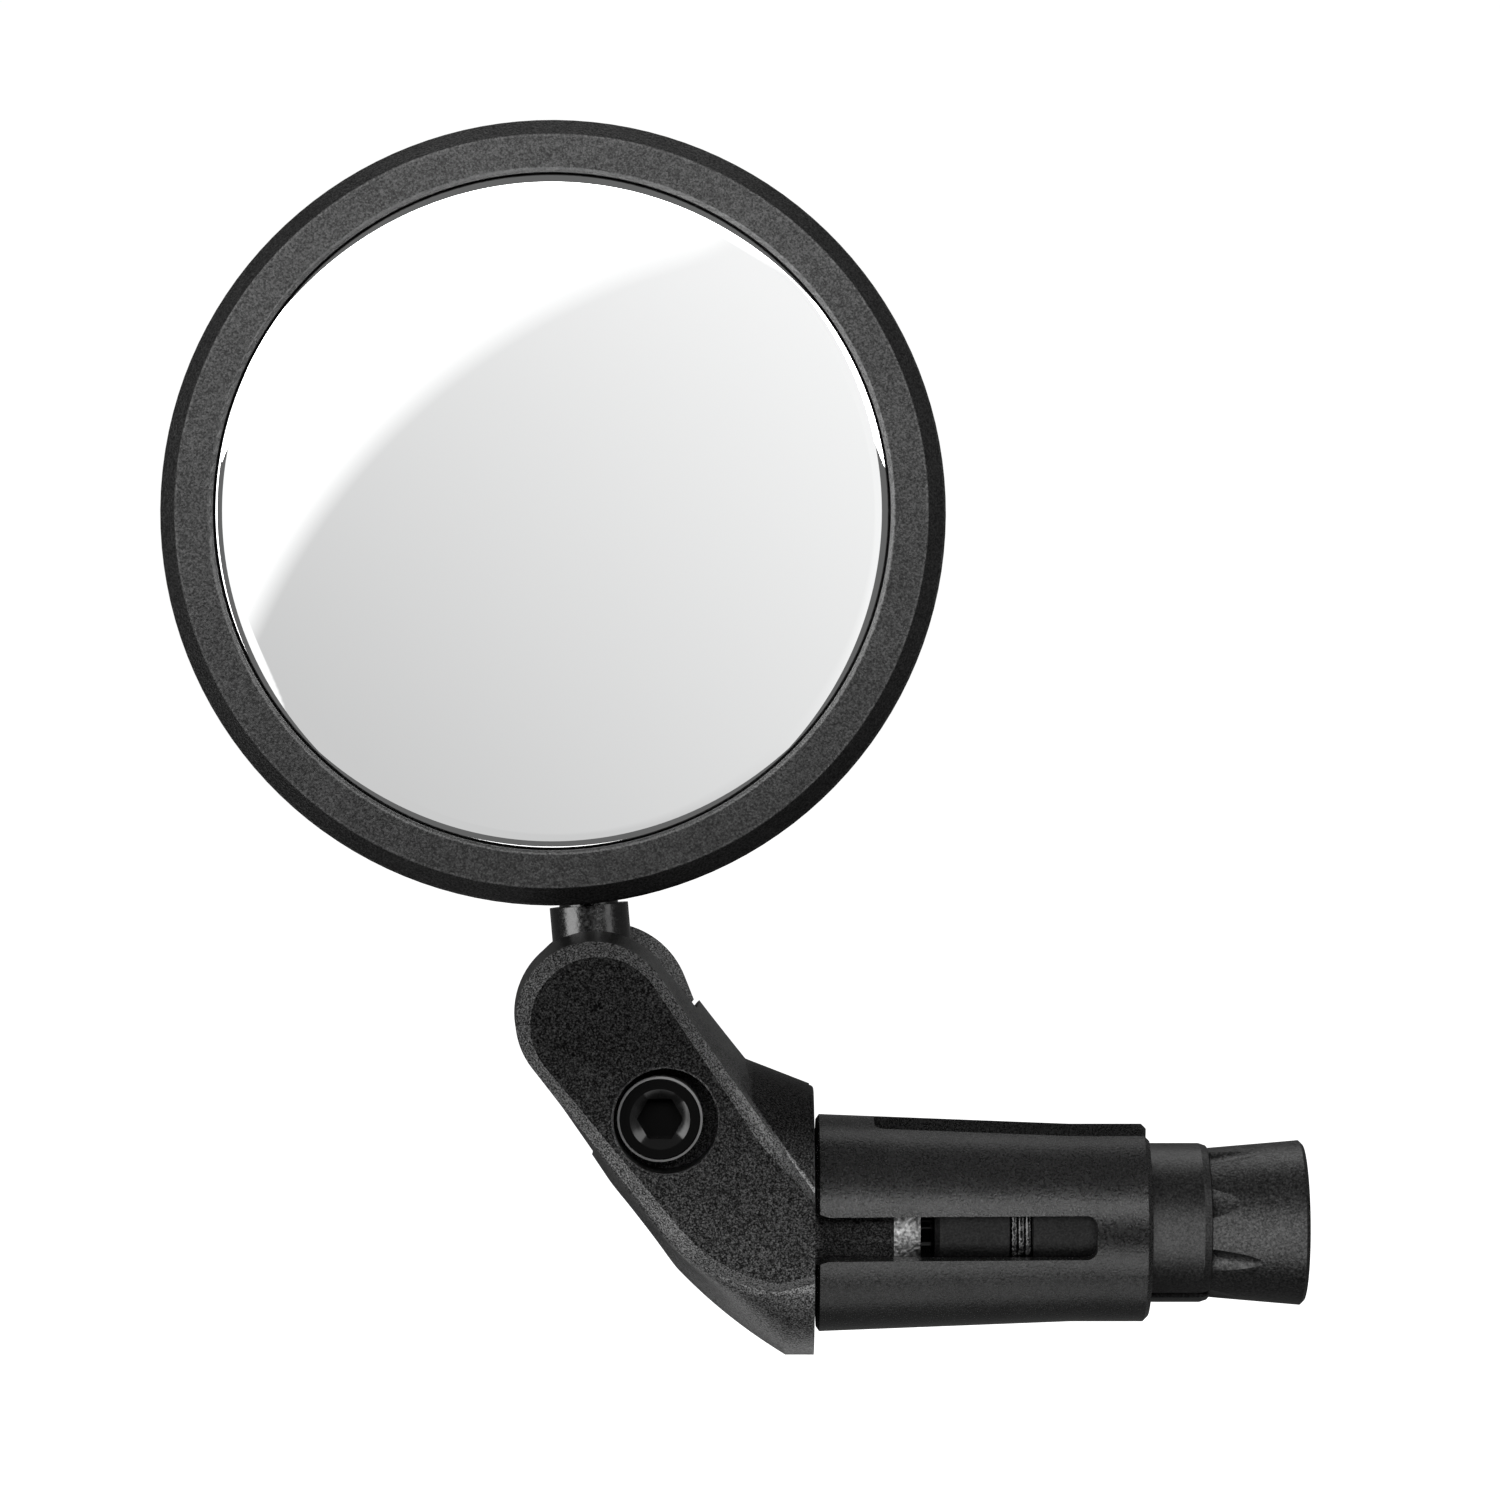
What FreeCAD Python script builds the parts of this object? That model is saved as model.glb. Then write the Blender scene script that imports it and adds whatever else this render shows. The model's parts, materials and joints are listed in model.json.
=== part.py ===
import FreeCAD, Part
import math
import os

import Sketcher
from FreeCAD import Placement, Rotation, Vector

# Bar-end bike mirror, in millimetres.
# The origin is where the axis of the bar plug meets the right face of the arm's flange.
# +X runs along the plug into the handlebar, the mirror faces -Y, and +Z is up.
# Turned pieces are drawn along their own X axis and then placed.

SIZES = {
    # bar plug
    "sleeve_start": 0.25,
    "sleeve_end": 33.8,
    "sleeve_radius": 10.0,
    "sleeve_lip_radius": 11.0,
    "sleeve_collar": 9.0,
    "sleeve_bore": 8.15,
    "sleeve_straight_start": 26.0,
    "sleeve_slot_half": 2.22,
    "sleeve_slot_mouth": 2.9,
    "sleeve_slot_reach": 28.2,
    "sleeve_slot_back": 6.1,
    "sleeve_slot_round": 1.1,
    "sleeve_turn": 3.85,
    "sleeve_far_turn": 8.0,
    "collet_start": 12.05,
    "collet_end": 39.9,
    "collet_radius": 8.05,
    "collet_bore": 6.2,
    "collet_slot_half": 0.6,
    "ring_start": 19.5,
    "ring_width": 2.4,
    "ring_seat": 7.25,
    "wire_radius": 0.36,
    "wedge_start": 29.0,
    "wedge_end": 49.65,
    "wedge_small": 6.62,
    "wedge_large": 8.34,
    "wedge_gap": 0.17,
    "wedge_groove": 1.6,
    "wedge_scallop": 6.0,
    "inner_wedge_end": 10.65,
    "inner_wedge_small": 6.9,
    # arm
    "front_face": 13.1,
    "front_edge": 12.0,
    "rear_edge": 10.4,
    "rear_face": 11.5,
    "flange_radius": 13.65,
    "flange_rise": 0.3,
    "flange_round": 0.45,
    "hub_slope": 0.387,
    "spigot_radius": 7.9,
    "spigot_length": 7.9,
    "wedge_shank": 5.5,
    "wedge_shank_start": 5.9,
    "key_recess_radius": 5.3,
    "key_recess_floor": 5.5,
    "bolt_clearance": 2.75,
    # mirror clamp
    "ball_across": -21.9,
    "ball_height": 21.6,
    "ball_radius": 7.0,
    "running_gap": 0.05,
    "jaw_gap": 5.3,
    "clamp_across": -15.4,
    "clamp_height": 11.3,
    "counterbore_across": -14.8,
    "counterbore_height": 11.25,
    "counterbore_radius": 5.22,
    "counterbore_floor": 6.3,
    "counterbore_chamfer": 0.17,
    "cap_radius": 8.7,
    "cap_shift": 0.65,
    "tongue_half": 5.0,
    "tongue_face": 10.6,
    "part_gap": 0.5,
    # M5 fasteners
    "bolt_radius": 2.5,
    "head_radius": 4.25,
    "head_height": 5.0,
    "key_width": 4.0,
    "key_depth": 2.6,
    "nut_width": 8.0,
    "nut_height": 4.0,
    "expander_length": 55.0,
    "clamp_length": 16.0,
    "washer_radius": 5.0,
    "washer_thickness": 1.0,
    # stem
    "stem_radius": 4.0,
    "stem_shoulder": 10.7,
    "pivot_radius": 3.0,
    "pivot_end": 24.2,
    "stem_washer_radius": 4.4,
    "stem_washer_thickness": 0.8,
    "stem_screw_radius": 1.5,
    "stem_screw_head": 2.75,
    "stem_screw_height": 2.0,
    "stem_screw_length": 8.0,
    # mirror head, depths measured from its own middle plane
    "lean": 5.0,
    "head_distance": 50.5,
    "head_depth": -1.0,
    "rim_radius": 39.6,
    "bezel_radius": 39.3,
    "bezel_flat_radius": 37.7,
    "lip_radius": 33.95,
    "lip_round": 0.45,
    "bezel_front": -7.0,
    "bezel_chamfer_back": -5.5,
    "seam": -3.5,
    "glass_radius": 33.75,
    "glass_rise": 0.7,
    "glass_edge": -6.3,
    "glass_thickness": 1.5,
    "pad_radius": 33.2,
    "plate_front": -4.3,
    "plate_radius": 36.5,
    "shell_wall": 2.2,
    "shell_inner": 34.5,
    "shell_shoulder": 5.0,
    "shell_apex": 9.0,
    "shell_rise": 1.9,
    "shell_round": 4.2,
    "boss_half": 5.5,
    "boss_top": 26.6,
}


class Size:
    """A number, together with the sheet formula that gives it."""

    def __init__(self, value, formula):
        self.value = value
        self.formula = formula

    def joined(self, sign, other, value):
        return Size(value, f"({self.formula} {sign} {formula_of(other)})")

    def __add__(self, other):
        return self.joined("+", other, self.value + value_of(other))

    def __sub__(self, other):
        return self.joined("-", other, self.value - value_of(other))

    def __mul__(self, other):
        return self.joined("*", other, self.value * value_of(other))

    def __truediv__(self, other):
        return self.joined("/", other, self.value / value_of(other))

    def __neg__(self):
        return Size(-self.value, f"(0 - {self.formula})")

    def root(self):
        return Size(math.sqrt(self.value), f"sqrt({self.formula})")


def value_of(number):
    return number.value if isinstance(number, Size) else number


def formula_of(number):
    return number.formula if isinstance(number, Size) else repr(number)


class Named:
    """Gives each size of the sheet as an attribute."""

    def __init__(self, sizes):
        for name, value in sizes.items():
            setattr(self, name, Size(value, f"Sizes.{name}"))


doc = FreeCAD.newDocument("BarEndMirror")
sheet = doc.addObject("Spreadsheet::Sheet", "Sizes")
for row, (alias, number) in enumerate(SIZES.items(), start=1):
    sheet.set(f"A{row}", alias)
    sheet.set(f"B{row}", str(number))
    sheet.setAlias(f"B{row}", alias)
doc.recompute()
size = Named(SIZES)
pieces = []


# ---------------------------------------------------------------- drawing helpers

def bind(thing, path, number):
    """Sets a property to a size, bound to the sheet where the size comes from it."""
    if isinstance(number, Size):
        thing.setExpression(path, number.formula)
    else:
        setattr(thing, path, number)


def new_body(label):
    body = doc.addObject("PartDesign::Body", label)
    body.Label = label
    pieces.append(body)
    return body


def origin_part(body, role):
    return next(item for item in body.Origin.OriginFeatures if item.Role == role)


def new_sketch(body, name, role, offset=0.0):
    """A sketch on one of the body's origin planes, moved along the plane's normal."""
    sketch = body.newObject("Sketcher::SketchObject", name)
    sketch.AttachmentSupport = [(origin_part(body, role), "")]
    sketch.MapMode = "FlatFace"
    sketch.AttachmentOffset = Placement(Vector(0, 0, value_of(offset)), Rotation())
    if isinstance(offset, Size):
        sketch.setExpression("AttachmentOffset.Base.z", offset.formula)
    return sketch


def constrain(sketch, kind, *references, size=None):
    """Adds one constraint, with its size bound to the sheet."""
    if size is None:
        return sketch.addConstraint(Sketcher.Constraint(kind, *references))
    index = sketch.addConstraint(Sketcher.Constraint(kind, *references, value_of(size)))
    if isinstance(size, Size):
        sketch.setExpression(f"Constraints[{index}]", size.formula)
    return index


def fix_point(sketch, geometry, end, across, along):
    """Holds one end of a curve at its distances from the sketch's origin."""
    for kind, axis, distance in (("DistanceX", -2, across), ("DistanceY", -1, along)):
        if not isinstance(distance, Size) and distance == 0:
            constrain(sketch, "PointOnObject", geometry, end, axis)
        else:
            constrain(sketch, kind, -1, 1, geometry, end, size=distance)


def arc_between(start, end, radius, left):
    """The short arc from start to end that bulges to its left or right."""
    chord = end - start
    half = chord.Length / 2
    middle = (start + end) / 2
    side = Vector(-chord.y, chord.x, 0).normalize() * (-1 if left else 1)
    centre = middle + side * math.sqrt(radius * radius - half * half)
    first, last = (end, start) if left else (start, end)
    angles = [math.atan2(p.y - centre.y, p.x - centre.x) for p in (first, last)]
    circle = Part.Circle(centre, Vector(0, 0, 1), radius)
    return Part.ArcOfCircle(circle, angles[0], angles[1])


def draw_outline(sketch, corners, arcs=None):
    """A closed outline through the corners. arcs maps an edge to (radius, bulges left)."""
    arcs = arcs or {}
    points = [Vector(value_of(x), value_of(y), 0) for x, y in corners]
    ends = []
    for edge, start in enumerate(points):
        end = points[(edge + 1) % len(points)]
        if edge in arcs:
            radius, left = arcs[edge]
            index = sketch.addGeometry(arc_between(start, end, value_of(radius), left))
            ends.append((index, 2, 1) if left else (index, 1, 2))
            constrain(sketch, "Radius", index, size=radius)
        else:
            index = sketch.addGeometry(Part.LineSegment(start, end))
            ends.append((index, 1, 2))
    for edge, (index, first, last) in enumerate(ends):
        following, next_first, _ = ends[(edge + 1) % len(ends)]
        constrain(sketch, "Coincident", index, last, following, next_first)
        fix_point(sketch, index, first, *corners[edge])


def draw_circle(sketch, across, along, radius):
    centre = Vector(value_of(across), value_of(along), 0)
    index = sketch.addGeometry(Part.Circle(centre, Vector(0, 0, 1), value_of(radius)))
    constrain(sketch, "Radius", index, size=radius)
    fix_point(sketch, index, 3, across, along)


def draw_hexagon(sketch, width, across=0, along=0):
    """A hexagon about a centre, measured across its flats."""
    corner = width / math.sqrt(3)
    angles = [math.radians(60 * turn) for turn in range(6)]
    corners = [(corner * math.cos(a) + across, corner * math.sin(a) + along) for a in angles]
    draw_outline(sketch, [(x, y if abs(value_of(y)) > 1e-6 else 0) for x, y in corners])


# ---------------------------------------------------------------- feature helpers

def finish_feature(body, feature, sketch=None):
    """Recomputes, and stops if the feature changed nothing."""
    before = 0 if body.Shape.isNull() else body.Shape.Volume
    body.Tip = feature
    doc.recompute()
    if sketch is not None:
        sketch.Visibility = False
    if abs(body.Shape.Volume - before) < 1e-3:
        raise RuntimeError(f"{body.Label}: {feature.Name} changed nothing")
    return feature


def turn(body, sketch, cut=False):
    """Revolves a sketch about its horizontal axis, to add or to cut."""
    kind = "Groove" if cut else "Revolution"
    feature = body.newObject(f"PartDesign::{kind}", f"{body.Name}_{kind}")
    feature.Profile = sketch
    feature.ReferenceAxis = (sketch, ["H_Axis"])
    feature.Angle = 360
    return finish_feature(body, feature, sketch)


def extrude(body, sketch, length, cut=False, both=False, flip=False, taper=0):
    """Pads or pockets a sketch, one way or both ways from its plane."""
    kind = "Pocket" if cut else "Pad"
    feature = body.newObject(f"PartDesign::{kind}", f"{body.Name}_{kind}")
    feature.Profile = sketch
    bind(feature, "Length", length)
    feature.SideType = "Symmetric" if both else "One side"
    feature.Reversed = flip
    feature.TaperAngle = taper
    return finish_feature(body, feature, sketch)


def cut_ball(body, name, across, along, radius):
    """Cuts a spherical seat."""
    ball = body.newObject("PartDesign::SubtractiveSphere", name)
    bind(ball, "Radius", radius)
    ball.Placement = Placement(Vector(value_of(across), 0, value_of(along)), Rotation())
    return finish_feature(body, ball)


def turned(label, corners, arcs=None):
    """A body turned about its X axis from an outline of (along, radius) corners."""
    body = new_body(label)
    sketch = new_sketch(body, f"{label}_profile", "XZ_Plane")
    draw_outline(sketch, corners, arcs)
    turn(body, sketch)
    return body


def place(body, position, rotation=None):
    """Puts a body in the object's frame; position is three sizes."""
    body.Placement = Placement(Vector(*[value_of(p) for p in position]), rotation or Rotation())
    for axis, distance in zip("xyz", position):
        if isinstance(distance, Size):
            body.setExpression(f"Placement.Base.{axis}", distance.formula)


# ---------------------------------------------------------------- fasteners

def cap_screw(label, radius, head, height, length, key, depth):
    """Socket head screw. Its head sits on the plane X = 0 and its shank runs along +X."""
    edge = 0.35
    tip = 0.5
    body = turned(label, [
        (-height, 0), (-height, head - edge), (-height + edge, head), (0, head),
        (0, radius), (length - tip, radius), (length, radius - tip), (length, 0),
    ])
    socket = new_sketch(body, f"{label}_socket", "YZ_Plane", -height)
    draw_hexagon(socket, key)
    extrude(body, socket, depth, cut=True, flip=True)
    mouth = new_sketch(body, f"{label}_socket_mouth", "XZ_Plane")
    flare = key * 0.75
    steepness = 4 / 3
    draw_outline(mouth, [
        (-height - 1, 0), (-height + flare / steepness, 0), (-height - 1, flare + steepness),
    ])
    turn(body, mouth, cut=True)
    return body


def hex_nut(label, width, height, bore):
    """Plain hexagon nut along X, from X = 0, with its corners turned off at both ends."""
    body = new_body(label)
    outline = new_sketch(body, f"{label}_hexagon", "YZ_Plane")
    draw_hexagon(outline, width)
    extrude(body, outline, height)
    hole = new_sketch(body, f"{label}_bore", "YZ_Plane")
    draw_circle(hole, 0, 0, bore)
    extrude(body, hole, height, cut=True, flip=True)
    corner = width / math.sqrt(3)
    reach = width / 2 - 0.1
    for name, end, inward in (("near", Size(0, "0"), 0.6), ("far", height, -0.6)):
        sketch = new_sketch(body, f"{label}_{name}_corners", "XZ_Plane")
        draw_outline(sketch, [
            (end - inward, reach), (end, reach), (end + inward, corner + 0.2),
            (end - inward, corner + 0.2),
        ])
        turn(body, sketch, cut=True)
    return body


def flat_washer(label, bore, radius, thickness):
    return turned(label, [(0, bore), (thickness, bore), (thickness, radius), (0, radius)])


# ---------------------------------------------------------------- bar plug

def slot_outline(sketch, start, mouth_start, mouth, half, end, rounding):
    """A slot along X that starts wide, narrows to its width and ends rounded."""
    rightwards = end.value > start.value
    step = rounding * (1 if rightwards else -1)
    draw_outline(sketch, [
        (start, -mouth), (mouth_start, -half), (end - step, -half),
        (end, -half + rounding), (end, half - rounding), (end - step, half),
        (mouth_start, half), (start, mouth),
    ], {2: (rounding, not rightwards), 4: (rounding, not rightwards)})


def make_adapter_sleeve():
    """Slotted outer sleeve that grips the inside of a large bar."""
    start = size.sleeve_start
    end = size.sleeve_end
    lip = size.sleeve_lip_radius
    body = turned("adapter_sleeve", [
        (0.12, size.sleeve_bore), (end, size.sleeve_bore), (end, size.sleeve_radius - 0.5),
        (end - 0.5, size.sleeve_radius), (size.sleeve_straight_start, size.sleeve_radius),
        (start + 0.9, lip - 0.03), (start + 0.3, lip), (start - 0.05, lip - 0.5),
        (0.12, size.sleeve_collar),
    ])
    across = size.sleeve_lip_radius * 3
    near = new_sketch(body, "near_slots", "XZ_Plane")
    slot_outline(near, start - 1, start + 1.2, size.sleeve_slot_mouth, size.sleeve_slot_half,
                 size.sleeve_slot_reach, size.sleeve_slot_round)
    extrude(body, near, across, cut=True, both=True)
    far = new_sketch(body, "far_slots", "XY_Plane")
    far.AttachmentOffset = Placement(Vector(), Rotation(Vector(1, 0, 0), SIZES["sleeve_far_turn"]))
    slot_outline(far, end + 1, end - 1.2, size.sleeve_slot_half, size.sleeve_slot_half,
                 size.sleeve_slot_back, size.sleeve_slot_round)
    extrude(body, far, across, cut=True, both=True)
    place(body, (0, 0, 0), Rotation(Vector(1, 0, 0), SIZES["sleeve_turn"]))
    return body


def make_collet_sleeve():
    """Slotted inner sleeve for a small bar; both mouths are opened by cones."""
    start = size.collet_start
    end = size.collet_end
    taper = (size.wedge_large - size.wedge_small) / (size.wedge_end - size.wedge_start)
    cone_start = size.wedge_start - 2
    mouth = size.wedge_small + taper * (end - size.wedge_start) + size.wedge_gap
    body = turned("collet_sleeve", [
        (start, 7.1), (start + 2.2, size.collet_bore), (cone_start, size.collet_bore),
        (cone_start, size.wedge_small + size.wedge_gap - taper * 2), (end, mouth),
        (end - 0.1, mouth + 0.12), (end - 0.8, size.collet_radius),
        (size.ring_start + size.ring_width, size.collet_radius),
        (size.ring_start + size.ring_width, size.ring_seat), (size.ring_start, size.ring_seat),
        (size.ring_start, size.collet_radius), (start + 0.5, size.collet_radius),
        (start, size.collet_radius - 0.5),
    ])
    across = size.collet_radius * 3
    half = size.collet_slot_half
    for name, plane, first, last in (
        ("far_slots", "XZ_Plane", start + 11, end + 1),
        ("near_slots", "XY_Plane", start - 1, end - 7),
    ):
        sketch = new_sketch(body, f"collet_{name}", plane)
        draw_outline(sketch, [(first, -half), (last, -half), (last, half), (first, half)])
        extrude(body, sketch, across, cut=True, both=True)
    place(body, (0, 0, 0), Rotation(Vector(1, 0, 0), 60))
    return body


def make_collet_ring():
    """Split spring ring of three wire turns, in the collet's groove."""
    wire = size.wire_radius
    inner = size.ring_seat + 0.02
    middle = inner + 0.3
    start = size.ring_start + 0.12
    body = turned("collet_ring", [
        (start, inner), (start + wire * 6, inner), (start + wire * 6, middle),
        (start + wire * 4, middle), (start + wire * 2, middle), (start, middle),
    ], {edge: (wire * 1.02, False) for edge in (2, 3, 4)})
    gap = new_sketch(body, "ring_gap", "XY_Plane")
    draw_outline(gap, [(start - 1, -0.5), (start + 4, -0.5), (start + 4, 0.5), (start - 1, 0.5)])
    extrude(body, gap, 20, cut=True)
    return body


def make_inner_wedge():
    """Bare metal cone on the end of the arm's spigot, held in it by a short shank."""
    base = size.spigot_length + size.running_gap
    return turned("inner_wedge", [
        (size.wedge_shank_start, size.bolt_clearance), (size.inner_wedge_end, size.bolt_clearance),
        (size.inner_wedge_end, size.inner_wedge_small), (base, size.spigot_radius),
        (base, size.wedge_shank), (size.wedge_shank_start, size.wedge_shank),
    ])


def make_end_wedge():
    """Cone that opens the collet, with four keyways and four scallops at its small end."""
    start = size.wedge_start
    end = size.wedge_end
    body = turned("end_wedge", [
        (start, size.bolt_clearance), (end, size.bolt_clearance), (end, size.wedge_large - 0.4),
        (end - 0.4, size.wedge_large), (start, size.wedge_small),
    ])
    pocket = new_sketch(body, "nut_pocket", "YZ_Plane", end)
    draw_hexagon(pocket, size.nut_width)
    extrude(body, pocket, size.nut_height + 0.2, cut=True)
    taper = (SIZES["wedge_large"] - SIZES["wedge_small"]) / (SIZES["wedge_end"] - SIZES["wedge_start"])
    for name, radius, leaves, slope, phase in (
        ("keyway", size.wedge_groove, 44.5, 13.0, 0),
        ("scallop", size.wedge_scallop, 41.45, 12.0, 45),
    ):
        surface = SIZES["wedge_small"] + taper * (leaves - SIZES["wedge_start"])
        reach = leaves - SIZES["wedge_start"] + 8
        rise = math.tan(math.radians(slope))
        low = surface + radius.value - rise * (reach - 4)
        cutter = body.newObject("PartDesign::SubtractiveCylinder", name)
        bind(cutter, "Radius", radius)
        cutter.Height = reach / math.cos(math.radians(slope))
        tilt = Rotation(Vector(0, 1, 0), 90 - slope)
        around = Rotation(Vector(1, 0, 0), phase)
        foot = Vector(leaves - reach + 4, 0, low)
        cutter.Placement = Placement(around.multVec(foot), around * tilt)
        finish_feature(body, cutter)
        pattern = body.newObject("PartDesign::PolarPattern", f"{name}s")
        pattern.Originals = [cutter]
        pattern.Axis = (origin_part(body, "X_Axis"), [""])
        pattern.Angle = 360
        pattern.Occurrences = 4
        finish_feature(body, pattern)
    place(body, (0, 0, 0), Rotation(Vector(1, 0, 0), 25))
    return body


def make_expander():
    """Bolt, washer and nut that pull the end wedge into the collet."""
    seat = -size.key_recess_floor - size.washer_thickness
    bolt = cap_screw("expander_bolt", size.bolt_radius, size.head_radius, size.head_height,
                     size.expander_length, size.key_width, size.key_depth)
    place(bolt, (seat, 0, 0))
    washer = flat_washer("expander_washer", size.bolt_clearance, size.washer_radius,
                         size.washer_thickness)
    place(washer, (seat, 0, 0))
    nut = hex_nut("wedge_nut", size.nut_width - 0.02, size.nut_height,
                  size.bolt_radius + size.running_gap)
    place(nut, (size.wedge_end - size.nut_height - 0.2, 0, 0), Rotation(Vector(1, 0, 0), 25))


# ---------------------------------------------------------------- arm

class Level:
    """The arm's outline at one depth; every value is a size."""

    def __init__(self, depth, end, radius, corner, top, side, low, flange):
        self.depth = depth
        self.end = end
        self.radius = radius
        self.corner = corner
        self.top = top
        self.side = side
        self.low = low
        self.flange = flange


def plain(value):
    return Size(value, repr(value))


def between(first, last, share):
    """The size that lies part of the way from one number to another."""
    return plain(round(first + (last - first) * share, 4))


def wall_level(depth, share, end, radius):
    """Outline of the drafted side wall: share is 0 at the bevel and 1 at full width."""
    reach = size.flange_radius
    rise = size.flange_rise
    circle = (reach * reach - depth * depth).root()
    corner_across = between(-5.9, -6.9, share)
    hub = size.flange_radius - size.hub_slope * corner_across
    corner_height = (hub * hub - depth * depth).root() + rise
    return Level(
        depth, (plain(end[0]), plain(end[1])), plain(radius), (corner_across, corner_height),
        circle + rise, (between(-15.2, -19.15, share), between(0.5, 2.3, share)),
        (between(-3.5, -2.9, share), rise - circle), rise - circle,
    )


def draw_level(body, name, level):
    """The outline of one level: round end, two sides, and the flange's edge at X = 0."""
    sketch = new_sketch(body, name, "XZ_Plane", -level.depth)
    centre = Vector(value_of(level.end[0]), value_of(level.end[1]), 0)
    radius = level.radius.value
    corner = Vector(level.corner[0].value, level.corner[1].value, 0)
    side = Vector(level.side[0].value, level.side[1].value, 0)
    low = Vector(level.low[0].value, level.low[1].value, 0)
    right = tangent_point(corner, centre, radius, 1)
    left = tangent_point(side, centre, radius, -1)
    top = Vector(0, level.top.value, 0)
    flange = Vector(0, level.flange.value, 0)
    angles = [math.atan2(p.y - centre.y, p.x - centre.x) for p in (right, left)]
    along = (side - left).normalize()
    chord = low - side
    swing = along.getAngle(chord)
    arc_radius = chord.Length / 2 / math.sin(swing)
    up = Vector(-along.y, along.x, 0)
    hollow = side + up * arc_radius
    sweep = [math.atan2(p.y - hollow.y, p.x - hollow.x) for p in (side, low)]
    normal = Vector(0, 0, 1)
    edges = [
        Part.LineSegment(top, corner),
        Part.LineSegment(corner, right),
        Part.ArcOfCircle(Part.Circle(centre, normal, radius), angles[0], angles[1]),
        Part.LineSegment(left, side),
        Part.ArcOfCircle(Part.Circle(hollow, normal, arc_radius), sweep[0], sweep[1]),
        Part.LineSegment(low, flange),
        Part.LineSegment(flange, top),
    ]
    for edge in edges:
        sketch.addGeometry(edge)
    for edge in (0, 4, 5, 6):
        constrain(sketch, "Coincident", edge, 2, (edge + 1) % 7, 1)
    for edge in (1, 2, 3):
        constrain(sketch, "Tangent", edge, 2, edge + 1, 1)
    fix_point(sketch, 0, 1, 0, level.top)
    fix_point(sketch, 1, 1, *level.corner)
    fix_point(sketch, 2, 3, *level.end)
    constrain(sketch, "Radius", 2, size=level.radius)
    fix_point(sketch, 4, 1, *level.side)
    fix_point(sketch, 5, 1, *level.low)
    fix_point(sketch, 6, 1, 0, level.flange)
    return sketch


def tangent_point(point, centre, radius, side):
    """Where the tangent from a point touches a circle, on the chosen side."""
    towards = point - centre
    angle = math.atan2(towards.y, towards.x) + side * math.acos(radius / towards.Length)
    return centre + Vector(math.cos(angle), math.sin(angle), 0) * radius


def loft(body, sketches, ruled):
    feature = body.newObject("PartDesign::AdditiveLoft", f"{body.Name}_loft")
    feature.Profile = (sketches[0], [""])
    feature.Sections = [(sketch, [""]) for sketch in sketches[1:]]
    feature.Ruled = ruled
    return finish_feature(body, feature)


def arm_levels():
    """Levels from the flat front face, over its bevel and wall, to the rear face."""
    front = Level(
        -size.front_face, (plain(-21.5), plain(20.8)), plain(6.7), (plain(-5.5), plain(9.1)),
        plain(3.0), (plain(-13.4), plain(0.65)), (plain(-3.5), plain(-4.85)), plain(-3.95),
    )
    edge = Level(
        -size.front_edge, (plain(-21.9), plain(21.2)), plain(7.8), (plain(-5.8), plain(11.95)),
        plain(3.95), (plain(-15.2), plain(0.5)), (plain(-3.5), plain(-5.8)), plain(-4.9),
    )
    wall = [wall_level(plain(float(depth)), share, end, radius) for depth, share, end, radius in (
        (-9, 1 / 3, (-21.92, 21.45), 7.95), (-6, 2 / 3, (-21.95, 21.6), 8.15),
        (-3, 1, (-22.0, 21.6), 8.4), (0, 1, (-22.0, 21.6), 8.6), (3, 1, (-22.0, 21.6), 8.7),
        (6, 2 / 3, (-21.85, 21.4), 8.7), (9, 1 / 3, (-21.7, 21.2), 8.5),
    )]
    rear = wall_level(size.rear_edge, 0.18, (-21.6, 21.0), 8.35)
    back = Level(
        size.rear_face, rear.end, rear.radius - 1.2,
        (rear.corner[0] + 0.4, rear.corner[1] - 1.6), rear.top - 1.3,
        (rear.side[0] + 0.8, rear.side[1] + 0.8), (rear.low[0], rear.low[1] + 1.3),
        rear.flange + 1.3,
    )
    return front, edge, wall, rear, back


def floor_point(distance, offset=0.0):
    """A point on the slot's floor, or offset towards the ball from it."""
    angle = math.radians(54.6)
    start_across = -11.8
    start_height = 22.1
    return (
        start_across + distance * math.cos(angle) - offset * math.sin(angle),
        start_height + distance * math.sin(angle) + offset * math.cos(angle),
    )


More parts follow.
